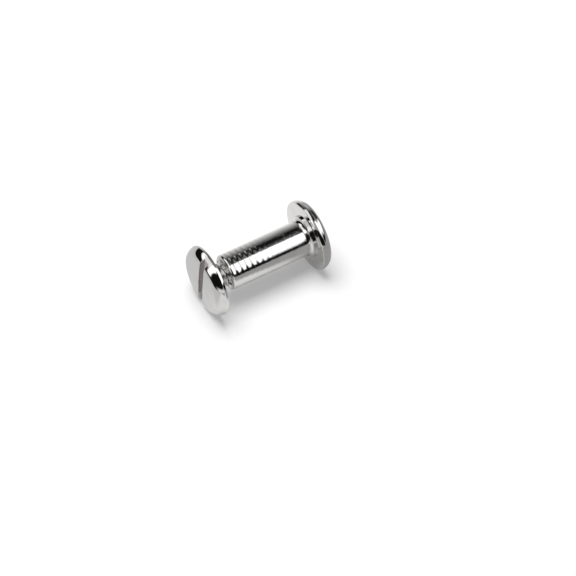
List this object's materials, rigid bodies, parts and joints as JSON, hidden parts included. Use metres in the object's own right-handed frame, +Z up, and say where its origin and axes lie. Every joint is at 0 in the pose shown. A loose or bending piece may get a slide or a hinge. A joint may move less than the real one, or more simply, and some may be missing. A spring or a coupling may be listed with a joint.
{
  "type": "binding barrel screw",
  "caption": "Two-piece binding fastener: a slotted screw with a wide low-domed head threads into a blind barrel with a matching head.",
  "frame": {"origin": "on the resting surface, midway between the tops of the two domed heads, below the screw's axis", "axes": "+X along the axis from the slotted head towards the barrel's head, +Z up as the part lies on the rims of its heads"},
  "size_m": [0.0178, 0.01, 0.01],
  "materials": {
    "barrel_plating": "bright nickel plate on steel",
    "screw_plating": "bright nickel plate on steel"
  },
  "bodies": {
    "barrel": {"barrel_post": "barrel_plating"},
    "screw": {"slotted_screw": "screw_plating"}
  },
  "joints": [
    {"name": "screw_travel", "type": "slide", "parent": "barrel", "child": "screw", "axis": [-1, 0, 0], "range_m": [-0.00206, 0.0127]}
  ]
}
